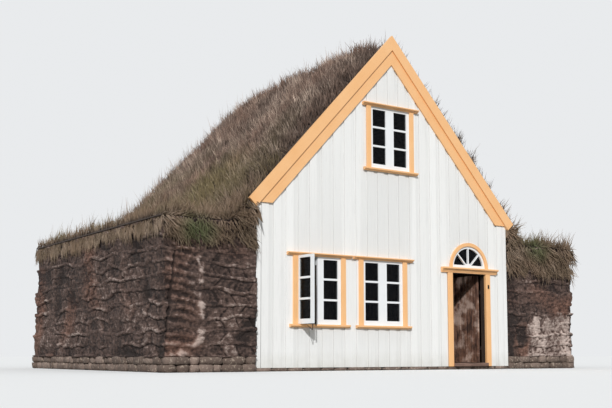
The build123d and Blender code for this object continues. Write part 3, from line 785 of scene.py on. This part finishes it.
# Casings, window heads and sills: planed and moulded pine, nailed over the edges of the boards and
# painted a warm light yellow. The heads and sills stand proud to shed rain.
def yellow_finish():
    """Warm yellow oil paint on planed wood: half matt, a little faded and worn to the grain."""
    material, tree, place = new_finish("yellow oil paint")
    clouds = speckle(tree, place, 3.0, 4.0)
    grain = speckle(tree, place, 55.0, 4.0)
    colour = blend_colours(tree, clouds, "#efb376", "#f6c590")
    worn = ranged(tree, grain, 0.6, 0.78, 0.0, 0.45)
    colour = blend_colours(tree, worn, colour, "#d5a06c")
    close_finish(tree, colour, grain, 0.0015, Roughness=0.5)
    return material


casing_wide = 0.1
casing_proud = 0.028
casing_ease = 0.004
head_widths = (1.37, 1.37, 1.31)
sill_half = 0.63
cornice_half = 0.72
head_profile = [(0.0, 0.0), (-0.032, 0.0), (-0.034, 0.01), (-0.044, 0.014), (-0.06, 0.024),
                (-0.072, 0.034), (-0.085, 0.036), (-0.085, 0.05), (-0.079, 0.056), (0.0, 0.056)]
sill_profile = [(0.0, 0.0), (-0.04, 0.0), (-0.044, 0.012), (-0.06, 0.016), (-0.07, 0.024),
                (-0.07, 0.046), (-0.063, 0.053), (0.0, 0.058)]
cornice_profile = [(0.0, 0.0), (-0.034, 0.0), (-0.036, 0.018), (-0.046, 0.022), (-0.05, 0.036),
                   (-0.062, 0.052), (-0.078, 0.064), (-0.1, 0.07), (-0.1, 0.09), (-0.093, 0.1),
                   (0.0, 0.1)]


def upright_casing(mesh, first, second, low, high):
    """A flat upright casing with eased front edges, against the boards."""
    prism(mesh, [(first, 0.0), (second, 0.0), (second, casing_ease - casing_proud),
                 (second - casing_ease, -casing_proud), (first + casing_ease, -casing_proud),
                 (first, casing_ease - casing_proud)], 2, low, high)


def door_jamb(mesh, side):
    """A door casing with a lip that covers the cut edge of the boards in the doorway."""
    edge = door_middle + side * (door_right - door_left) / 2
    outline = [(-door_lip, front_thick), (0.0, front_thick), (0.0, 0.0), (door_casing, 0.0),
               (door_casing, casing_ease - casing_proud), (door_casing - casing_ease, -casing_proud),
               (casing_ease - door_lip, -casing_proud), (-door_lip, casing_ease - casing_proud)]
    prism(mesh, [(edge + side * across, depth) for across, depth in outline], 2, board_foot, door_head)


def moulding(mesh, profile, first, second, low):
    """A moulding of this profile, lying level along the front."""
    prism(mesh, [(out, low + up) for out, up in profile], 0, first, second)


mesh = bmesh.new()
sill_height = sill_profile[-1][1]
for (middle, sill, height), head_wide in zip(windows, head_widths):
    for side in (-1, 1):
        edge = middle + side * light_width / 2
        first, second = sorted((edge, edge + side * casing_wide))
        upright_casing(mesh, first, second, sill, sill + height)
    moulding(mesh, head_profile, middle - head_wide / 2, middle + head_wide / 2, sill + height)
    moulding(mesh, sill_profile, middle - sill_half, middle + sill_half, sill - sill_height)
yellow_paint = yellow_finish()
finished("window_trim", [as_shape(mesh)], yellow_paint, "house", "yellow_paint", "window_casings")

mesh = bmesh.new()
door_casing = 0.115
door_lip = 0.005
for side in (-1, 1):
    door_jamb(mesh, side)
moulding(mesh, cornice_profile, door_middle - cornice_half, door_middle + cornice_half, door_head)
finished("door_trim", [as_shape(mesh)], yellow_paint, "house", "yellow_paint", "door_casings")
dress(yellow_paint, "fanlight_arch", "barge_upper_left", "barge_upper_right", "barge_lower_left",
      "barge_lower_right")


# Door leaf: five upright pine planks nailed to three ledges on the inner side, once tarred and now
# worn brown and pale. It hangs on two strap hinges on the right jamb, with a small pale knob each side.
def leaf_finish():
    """Old tar worn off pine planks: red-brown and dark along the grain, with pale bare blotches."""
    material, tree, place = new_finish("worn door planks")
    drawn = stretched(tree, place, (1.0, 1.0, 0.12))
    streaks = speckle(tree, drawn, 24.0, 6.0)
    blots = speckle(tree, place, 3.6, 8.0, 0.62)
    share = ranged(tree, streaks, 0.36, 0.64)
    colour = blend_colours(tree, share, "#4a3129", "#8a6551")
    bare = ranged(tree, blots, 0.5, 0.62, 0.0, 0.7)
    colour = blend_colours(tree, bare, colour, "#d0b5a6")
    tarred = ranged(tree, blots, 0.46, 0.38, 0.0, 0.7)
    colour = blend_colours(tree, tarred, colour, "#2a1d18")
    close_finish(tree, colour, streaks, 0.003, Roughness=0.75)
    return material


leaf_low, leaf_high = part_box("door_leaf")
ledge_thick = 0.014
ledge_half = 0.07
ledge_inset = 0.02
ledge_heights = (0.42, 1.29, 1.52)
plank_back = leaf_high.x - ledge_thick
plank_count = 5
plank_gap = 0.002
groove = 0.006
mesh = bmesh.new()
plank_wide = (leaf_high.y - leaf_low.y) / plank_count
for n in range(plank_count):
    first = leaf_low.y + n * plank_wide + plank_gap / 2
    second = first + plank_wide - plank_gap
    prism(mesh, [(plank_back, first), (plank_back, second), (leaf_low.x + groove, second),
                 (leaf_low.x, second - groove), (leaf_low.x, first + groove),
                 (leaf_low.x + groove, first)], 2, leaf_low.z, leaf_high.z)
for height in ledge_heights:
    box_shape(mesh, (plank_back, leaf_low.y + ledge_inset, height - ledge_half),
              (leaf_high.x, leaf_high.y - ledge_inset, height + ledge_half))
finished("door_planks", [as_shape(mesh)], leaf_finish(), "door", "leaf_wood", "door_leaf")
dress(wood_finish("worn threshold", "#8c6f62", "#4d392f", 0, 0.014, 0.7), "threshold")


# Ironwork: strap hinges, pintles and keeper, the open casement's stay and the bolt down its free
# edge. All are forged by hand, blackened and nailed on. The knobs are turned from horn.
def iron_finish():
    """Forged iron with black oxide and a little rust: dark, uneven and half matt."""
    material, tree, place = new_finish("forged iron")
    rust = speckle(tree, place, 40.0, 5.0)
    share = ranged(tree, rust, 0.5, 0.7, 0.0, 0.7)
    colour = blend_colours(tree, share, "#1d1b1a", "#5a3422")
    close_finish(tree, colour, rust, 0.001, Roughness=0.55, Metallic=0.6)
    return material


def knob_finish():
    """A turned knob of pale worn horn: smooth, faintly streaked."""
    material, tree, place = new_finish("turned horn")
    rings = speckle(tree, place, 90.0, 2.0)
    colour = blend_colours(tree, rings, "#cfc3ae", "#ece6da")
    close_finish(tree, colour, rings, 0.0005, Roughness=0.35)
    return material


black_iron = iron_finish()
dress(black_iron, "ironwork", "door_straps")
mesh = bmesh.new()
sash_thick = 0.038
ajar_angle = 85
bolt_thick = 0.003
bolt_sunk = 0.0005
bolt_front = 0.014
bolt_below, bolt_above = 0.04, 0.99
ajar_low, ajar_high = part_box("casement_ajar")
turned = Matrix.Rotation(radians(-ajar_angle), 2)
hinge = Vector((ajar_high.x, ajar_high.y)) - turned @ Vector((0, sash_thick))
free_edge = (ajar_high.y - ajar_low.y - sash_thick * turned[1][1]) / -turned[1][0]
near, far = free_edge - bolt_thick, free_edge + bolt_sunk
bolt_back = sash_thick + bolt_thick
bar = [hinge + turned @ Vector(spot) for spot in (
    (near, bolt_front), (far, bolt_front), (far, bolt_back), (near, bolt_back))]
prism(mesh, bar, 2, ajar_low.z - bolt_below, ajar_low.z + bolt_above)
finished("casement_bolt", [as_shape(mesh)], black_iron, "house", "iron")
dress(knob_finish(), "door_handles")


# Turf roof: two layers of turf over brushwood and boards, grown together and covered with long dry
# grass. Each half runs from the ridge down over the side wall to the party line, and its grass hangs
# over the wall's front and back.
def grass_finish():
    """Dry grass: darkened at the root as painted shade, brown and straw above, in dark, pale and green
    patches, and under a painted shadow of the barge boards near the front.
    """
    material, tree, place = new_finish("dry grass")
    rise = carried(tree, "rise")
    straw = carried(tree, "straw")
    patch = speckle(tree, place, 0.9, 4.0)
    clump = speckle(tree, place, 4.0, 5.0)
    bleached = speckle(tree, place, 1.7, 3.0)
    bleached = ranged(tree, bleached, 0.38, 0.62, 0.35, 1.5)
    pale = sum_up(tree, "MULTIPLY", sum_up(tree, "POWER", straw, 1.4), bleached)
    colour = blend_colours(tree, pale, "#67534a", "#e3cbb8")
    spread = ranged(tree, patch, 0.42, 0.6, 0.0, 0.6)
    colour = blend_colours(tree, spread, colour, "#8c6c5b")
    dark = ranged(tree, clump, 0.36, 0.56, 0.85, 0.0)
    colour = blend_colours(tree, dark, colour, "#4a3b33")
    across, along, height = add(tree, "ShaderNodeSeparateXYZ", {0: place}).outputs
    # Painted shadow of the barge boards on the grass just behind them, above the wall tops.
    painted_barge_shadow = ranged(tree, along, 0.1, 0.75, 0.6, 0.0)
    above = ranged(tree, height, 2.9, 3.4)
    colour = blend_colours(tree, sum_up(tree, "MULTIPLY", painted_barge_shadow, above), colour, "#43352d")
    low = ranged(tree, height, 5.4, 2.8, 0.0, 0.4)
    brow = ranged(tree, height, 2.45, 2.7)
    olive = ranged(tree, patch, 0.5, 0.4)
    green = sum_up(tree, "MULTIPLY", sum_up(tree, "MULTIPLY", low, brow), olive)
    hay = ranged(tree, height, 4.2, 2.8, 0.0, 0.5)
    colour = blend_colours(tree, hay, colour, "#826e51")
    colour = blend_colours(tree, green, colour, "#7b7443")
    hanging = ranged(tree, height, 2.8, 2.5, 0.0, 0.25)
    colour = blend_colours(tree, hanging, colour, "#4d4130")
    for spot, reach, strength, green in (
            ((-2.85, 2.0, 3.45), 1.3, 0.45, "#7c7840"), ((-4.07, -0.1, 2.3), 0.42, 0.75, "#4b5a31"),
            ((3.7, 0.2, 2.9), 0.5, 0.4, "#6d6c38"), ((3.79, -0.1, 2.5), 0.42, 0.75, "#4b5a31")):
        away = add(tree, "ShaderNodeVectorMath", {0: place, 1: spot}, operation="DISTANCE")
        near = ranged(tree, away.outputs["Value"], reach, reach * 0.3, 0.0, strength)
        colour = blend_colours(tree, near, colour, green)
    # Painted shade at the root: each sheaf darkens towards its foot as far as its rise says, less where
    # Rooted lifts it.
    painted_root_shade = ranged(tree, rise, 0.0, 0.6)
    colour = blend_colours(tree, painted_root_shade, "#3b2f28", colour)
    close_finish(tree, colour, clump, 0.01, Roughness=0.8)
    return material


def open_tree(name, sizes):
    """A Geometry Nodes tree with these named sizes as inputs, and one geometry out."""
    tree = bpy.data.node_groups.new(name, "GeometryNodeTree")
    kinds = {float: "Float", int: "Int", tuple: "Vector"}
    tree.interface.new_socket(name="Surface", in_out="INPUT", socket_type="NodeSocketGeometry")
    for label, value in sizes.items():
        socket = tree.interface.new_socket(name=label, in_out="INPUT",
                                           socket_type="NodeSocket" + kinds[type(value)])
        socket.default_value = value
    tree.interface.new_socket(name="Piece", in_out="OUTPUT", socket_type="NodeSocketGeometry")
    return tree, add(tree, "NodeGroupInput").outputs


def grow(tree, surface, sizes):
    """Runs a Geometry Nodes tree with these sizes and returns the mesh that it makes."""
    carrier = placed("carrier", surface)
    modifier = carrier.modifiers.new("grow", "NODES")
    modifier.node_group = tree
    for socket in tree.interface.items_tree:
        if socket.in_out == "INPUT" and socket.name in sizes:
            modifier[socket.identifier] = sizes[socket.name]
    ready = carrier.evaluated_get(bpy.context.evaluated_depsgraph_get())
    shape = bpy.data.meshes.new_from_object(ready)
    bpy.data.objects.remove(carrier)
    return shape


def vector_of(tree, operation, first, second):
    """The outcome of one operation on two vectors or sockets."""
    return add(tree, "ShaderNodeVectorMath", {0: first, 1: second}, operation=operation).outputs[0]


def drawn_by_lot(tree, low, high, seed):
    """A number between two limits, drawn for each sheaf."""
    return add(tree, "FunctionNodeRandomValue", {2: low, 3: high, "Seed": seed},
               data_type="FLOAT").outputs[1]


def grass_tree():
    """Tapered sheaves of grass on a surface: upright on slopes, hanging on steep faces, combed in
    clumps, and bent over by the wind."""
    tree, given = open_tree("dry grass", {
        "Density": 600.0, "Length": 0.3, "Width": 0.012, "Bends": 1, "Stand": 0.8, "Droop": 0.3,
        "Paler": 0.0, "Rooted": 0.0, "Seed": 1, "Low": (0.0, 0.0, 0.0), "High": (0.0, 0.0, 0.0),
        "Front": 3.0, "Barge reach": 0.2, "Barge foot": 2.7, "Behind": 0.03})
    here = add(tree, "GeometryNodeInputPosition").outputs[0]
    clump = add(tree, "ShaderNodeTexNoise", {"Vector": here, "Scale": 3.5, "Detail": 3.0}).outputs
    thick = ranged(tree, clump[0], 0.36, 0.62, 0.5, 1.4)
    points = add(tree, "GeometryNodeDistributePointsOnFaces", {
        "Mesh": given["Surface"], "Seed": given["Seed"],
        "Density": sum_up(tree, "MULTIPLY", given["Density"], thick)}).outputs
    # Each sheaf's way: off the surface, up or down with its steepness, and with its clump
    steep = add(tree, "ShaderNodeSeparateXYZ", {0: points["Normal"]}).outputs[2]
    lift = ranged(tree, steep, 0.0, 0.72, -0.9, given["Stand"])
    comb = vector_of(tree, "SUBTRACT", clump["Color"], (0.5, 0.5, 0.5))
    comb = vector_of(tree, "MULTIPLY", comb, (2.6, 2.6, 0.8))
    stray = add(tree, "FunctionNodeRandomValue", {
        0: (-0.35, -0.35, -0.15), 1: (0.35, 0.35, 0.15), "Seed": given["Seed"]},
        data_type="FLOAT_VECTOR").outputs[0]
    way = add(tree, "ShaderNodeVectorMath", {0: points["Normal"], "Scale": 0.5},
              operation="SCALE").outputs[0]
    for part in (add(tree, "ShaderNodeCombineXYZ", {2: lift}).outputs[0], comb, stray):
        way = vector_of(tree, "ADD", way, part)
    turn = add(tree, "FunctionNodeAlignRotationToVector", {"Vector": way}, axis="Z")
    # One sheaf: a slim three-sided spike, bent over towards its tip
    cone = add(tree, "GeometryNodeMeshCone", {
        "Vertices": 3, "Side Segments": given["Bends"], "Radius Top": 0.0,
        "Radius Bottom": sum_up(tree, "MULTIPLY", given["Width"], 0.5), "Depth": given["Length"]})
    height = add(tree, "ShaderNodeSeparateXYZ", {0: here}).outputs[2]
    share = sum_up(tree, "DIVIDE", height, given["Length"])
    bend = sum_up(tree, "MULTIPLY", sum_up(tree, "POWER", share, 2.0),
                  sum_up(tree, "MULTIPLY", given["Length"], given["Droop"]))
    bent = add(tree, "GeometryNodeSetPosition", {
        "Geometry": cone.outputs[0],
        "Offset": add(tree, "ShaderNodeCombineXYZ", {0: bend}).outputs[0]})
    # The rise is the share up the sheaf, held at least at Rooted; the grass material darkens low rises
    # as painted shade at the root.
    blade = add(tree, "GeometryNodeStoreNamedAttribute", {
        "Geometry": bent.outputs[0], "Name": "rise",
        "Value": sum_up(tree, "MAXIMUM", share, given["Rooted"])}, data_type="FLOAT", domain="POINT")
    long = ranged(tree, clump[0], 0.3, 0.7, 0.6, 1.2)
    size = drawn_by_lot(tree, 0.65, 1.25, sum_up(tree, "ADD", given["Seed"], 5))
    blades = add(tree, "GeometryNodeInstanceOnPoints", {
        "Points": points["Points"], "Instance": blade.outputs[0], "Rotation": turn.outputs[0],
        "Scale": sum_up(tree, "MULTIPLY", long, size)})
    spin = drawn_by_lot(tree, 0.0, 2 * pi, sum_up(tree, "ADD", given["Seed"], 9))
    blades = add(tree, "GeometryNodeRotateInstances", {
        "Instances": blades.outputs[0],
        "Rotation": add(tree, "ShaderNodeCombineXYZ", {2: spin}).outputs[0]})
    straw = drawn_by_lot(tree, given["Paler"], 1.0, sum_up(tree, "ADD", given["Seed"], 13))
    blades = add(tree, "GeometryNodeStoreNamedAttribute", {
        "Geometry": blades.outputs[0], "Name": "straw", "Value": straw},
        data_type="FLOAT", domain="INSTANCE")
    real = add(tree, "GeometryNodeRealizeInstances", {0: blades.outputs[0]})
    # No sheaf reaches past the house's own box, or through the barge boards and the front
    apart = add(tree, "ShaderNodeSeparateXYZ", {0: here}).outputs
    across = sum_up(tree, "ABSOLUTE", apart[0], 0.0)
    barge = sum_up(tree, "MULTIPLY", sum_up(tree, "GREATER_THAN", apart[2], given["Barge foot"]),
                   given["Barge reach"])
    covered = sum_up(tree, "MULTIPLY", given["Behind"], sum_up(
        tree, "LESS_THAN", across, sum_up(tree, "ADD", given["Front"], barge)))
    low = vector_of(tree, "ADD", given["Low"],
                    add(tree, "ShaderNodeCombineXYZ", {1: covered}).outputs[0])
    kept = vector_of(tree, "MINIMUM", vector_of(tree, "MAXIMUM", here, low), given["High"])
    real = add(tree, "GeometryNodeSetPosition", {"Geometry": real.outputs[0], "Position": kept})
    done = add(tree, "GeometryNodeSetMaterial", {"Geometry": real.outputs[0],
                                                 "Material": dry_grass})
    add(tree, "NodeGroupOutput", {0: done.outputs[0]})
    return tree


front_end, back_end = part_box("turf_roof_left")[0].y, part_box("turf_roof_left")[1].y
ridge_full = cad_high.z
ridge_front = 6.26
ridge_back = 6.2
rise_depth = 0.85
fall_depth = 4.7
shoulder_out = 3.3
shoulder = 2.96
front_drop = 0.1
back_drop = 0.12
valley = 2.64
crown_front = 0.163
crown_back = 0.0
roof_hollow = 0.055
grass_depth = 0.26
board_apex = 5.86
barge_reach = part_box("barge_upper_right")[1].x + 0.01
barge_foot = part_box("barge_lower_right")[0].z - 0.02
grass_front = -0.3
brow_steps = ((0.25, 0), (0.1, 0.02), (0.03, 0.1), (-0.01, 0.25), (-0.02, 0.45), (-0.02, 0.52),
              (-0.01, 0.66), (0, 0.82))


def between(value, first, second, start, end):
    """The value's share of the way from first to second, as a number from start to end."""
    share = within((value - first) / (second - first))
    return start + (end - start) * share


def turf_top(reach, depth, party):
    """Height of the grown turf under its grass, over one point of the roof, with its lumps."""
    if depth < fall_depth:
        ridge = between(depth, front_end, rise_depth, ridge_front, ridge_full)
        drop = between(depth, front_end, rise_depth, front_drop, 0)
    else:
        ridge = between(depth, fall_depth, back_end, ridge_full, ridge_back)
        drop = between(depth, fall_depth, back_end, 0, back_drop)
    if reach < shoulder_out:
        share = reach / shoulder_out
        crown = between(depth, rise_depth, fall_depth, crown_front, crown_back)
        height = ridge + (shoulder - drop - ridge) * share + 4 * crown * share * (1 - share)
    else:
        share = (reach - shoulder_out) / (abs(party) - shoulder_out)
        height = (shoulder - drop) + (valley - shoulder + drop / 2) * share
        height -= 4 * roof_hollow * share * (1 - share)
    spot = Vector((copysign(reach, party), depth, height))
    lumps = 0.06 * noise.noise(spot * 1.3) + 0.05 * noise.noise(spot * 3.7)
    return max(height - grass_depth + lumps, turf_foot(reach) + 0.02)


def turf_foot(reach):
    """Height of the turf's underside, on the roof boards and on the side wall."""
    return max(wall_top, board_apex - slope * reach)


def turf_rows(party):
    """The top of one half of the roof as rows of points from the ridge out, from front to back."""
    across, along = 50, 56
    return [[Vector((party * n / across, depth, turf_top(abs(party) * n / across, depth, party)))
             for n in range(across + 1)]
            for depth in (front_end + (back_end - front_end) * m / along for m in range(along + 1))]


def sheet(rows):
    """An open sheet through rows of points, its faces upwards and outwards."""
    mesh = bmesh.new()
    rows = [[mesh.verts.new(place) for place in row] for row in rows]
    for row, after in zip(rows, rows[1:]):
        for n in range(len(row) - 1):
            mesh.faces.new((row[n], row[n + 1], after[n + 1], after[n]))
    shape = bpy.data.meshes.new("sheet")
    mesh.normal_update()
    if sum(face.normal.z for face in mesh.faces) < 0:
        bmesh.ops.reverse_faces(mesh, faces=mesh.faces[:])
    mesh.to_mesh(shape)
    mesh.free()
    return shape


def verge(party):
    """The faces that the grass hangs from along the party edge and the back edge."""
    steps = 60
    side, back = [], []
    for inset, drop in ((0.12, 0), (0.05, 0.005), (0.02, 0.025), (0.005, 0.06), (0.004, 0.2)):
        x = party - copysign(inset, party)
        side.append([Vector((x, depth, turf_top(abs(x), depth, party) - drop))
                     for depth in (back_end * n / steps for n in range(steps + 1))])
        depth = back_end - inset + 0.01
        back.append([Vector((party * n / steps, depth,
                             turf_top(abs(party) * n / steps, depth, party) - drop))
                     for n in range(steps + 1)])
    return sheet(side), sheet(back)


def gable_edge(party):
    """The strip of turf just behind the barge boards, from the ridge down to the shoulder."""
    steps = 40
    reaches = [shoulder_out * n / steps for n in range(steps + 1)]
    return sheet([[Vector((copysign(reach, party), depth, turf_top(reach, depth, party)))
                   for reach in reaches] for depth in (0.04, 0.1, 0.2)])


def brow(party, spread, belly, hang):
    """The face that the grass hangs from over the front of a side wall, from the top down."""
    across = 24
    inner = copysign(half_back - 0.03, party)
    rows = [[] for step in brow_steps]
    for n in range(across + 1):
        x = inner + (party - inner) * n / across
        top = turf_top(abs(x), 0, party)
        ragged = 0.09 * noise.noise(Vector((x * 2.2, 3, 8)))
        for row, (depth, drop) in zip(rows, brow_steps):
            if drop < 0.5:
                height = top - drop * (top - wall_top)
                row.append(Vector((x, depth, height)))
            else:
                height = wall_top - (drop - 0.5) * hang + ragged * (drop > 0.6)
                rise = (height - stone_height) / wall_rise
                front = -spread * (1 - rise) - 4 * belly * rise * (1 - rise)
                row.append(Vector((x, front + depth, height)))
    return sheet(rows)


dry_grass = grass_finish()
grass = grass_tree()


def blades_on(surface, density, length, width, bends, seed, stand=0.8, droop=0.3, paler=0.0,
              rooted=0.0):
    """Sheaves of one length and width over a surface, inside the house's box."""
    return grow(grass, surface, {
        "Density": density, "Length": length, "Width": width, "Bends": bends, "Seed": seed,
        "Stand": stand, "Droop": droop, "Paler": paler, "Rooted": rooted,
        "Low": (party_left, grass_front, 0.0),
        "High": (party_right, side_high.y, ridge_full), "Front": front_half + 0.01,
        "Barge reach": barge_reach - front_half, "Barge foot": barge_foot,
        "Behind": front_thick + 0.006 - grass_front})


for party, spread, belly, hang, tufts, word in (
        (party_left, left_spread, left_belly, 1, 40, "left"),
        (party_right, 0, right_belly, 1.6, 220, "right")):
    tops = turf_rows(party)
    rings = [[(place,) for place in row]
             + [(Vector((place.x, place.y, turf_foot(abs(place.x)))),) for place in reversed(row)]
             for row in tops]
    finished("roof_turf_" + word, [as_shape(skin(rings), True)], dry_grass, "house", "grass_turf",
             "turf_roof_" + word)
    coat = sheet(tops)
    fringe = brow(party, spread, belly, hang)
    seed = len(word)
    finished("roof_grass_" + word, [
        blades_on(coat, 520, 0.2, 0.024, 1, seed),
        blades_on(coat, 170, 0.3, 0.018, 2, seed + 20, stand=0.95),
        blades_on(coat, 34, 0.46, 0.012, 2, seed + 40, stand=1.5, droop=0.15, paler=0.6),
        blades_on(fringe, 900, 0.22, 0.022, 2, seed + 60, stand=-0.3, rooted=0.4),
        blades_on(fringe, 300, 0.34, 0.018, 2, seed + 80, rooted=0.4),
        *(blades_on(edge, 1200, 0.2, 0.022, 1, seed + 100, stand=-0.6, rooted=0.4)
          for edge in verge(party)),
        blades_on(gable_edge(party), tufts, 0.34, 0.022, 2, seed + 120, stand=1.1, droop=0.2),
    ], dry_grass, "house", "grass_turf", "turf_roof_" + word)


# Camera: where the photograph was taken from, low in front of the house and to its left
# (11.24 m left of the front's middle, 14.02 m before it), turned to the house.
camera_data = bpy.data.cameras.new("camera")
camera = placed("camera", camera_data)
bpy.context.scene.camera = camera
camera.location = (-11.24, -14.02, 0.28)
camera.rotation_euler = (radians(90 + 6.0), 0, radians(-33.6))
camera_data.sensor_width = 36
camera_data.lens = 57
camera_data.shift_y = 0.08
camera_data.clip_end = 400


# Floor and light: a pale floor that keeps the shadow, a soft low sun from the front left as in the
# photograph, and an even pale surround. What the camera sees of floor and surround is paler than the
# light that they throw on the house.
def seen_straight(tree):
    """1 for what the camera sees, straight or in glass, and 0 for light thrown on other things."""
    path = add(tree, "ShaderNodeLightPath").outputs
    return sum_up(tree, "MAXIMUM", path["Is Camera Ray"],
                  sum_up(tree, "MAXIMUM", path["Is Glossy Ray"], path["Is Transmission Ray"]))


mesh = bmesh.new()
bmesh.ops.create_grid(mesh, x_segments=1, y_segments=1, size=150)
ground = placed("floor", as_shape(mesh))
ground_paint, tree, place = new_finish("pale floor")
shader = add(tree, "ShaderNodeBsdfPrincipled", {
    "Base Color": blend_colours(tree, seen_straight(tree), "#8a8a86", "#f0f1f1"), "Roughness": 1.0,
    "Specular IOR Level": 0.0})
add(tree, "ShaderNodeOutputMaterial", {"Surface": shader.outputs[0]})
ground.data.materials.append(ground_paint)

sun_data = bpy.data.lights.new("sun", "SUN")
sun_data.energy = 2.75
sun_data.angle = radians(2)
sun = placed("sun", sun_data)
sun.rotation_euler = Vector((-0.503, -0.718, 0.481)).to_track_quat("Z", "Y").to_euler()

world = bpy.data.worlds.new("surround")
bpy.context.scene.world = world
world.use_nodes = True
tree = world.node_tree
tree.nodes.clear()
strength = sum_up(tree, "ADD", 0.58, sum_up(tree, "MULTIPLY", seen_straight(tree), 0.32))
sky = add(tree, "ShaderNodeBackground", {"Color": linear("#f4f6f8"), "Strength": strength})
add(tree, "ShaderNodeOutputWorld", {"Surface": sky.outputs[0]})
bpy.context.scene.view_settings.view_transform = "Standard"
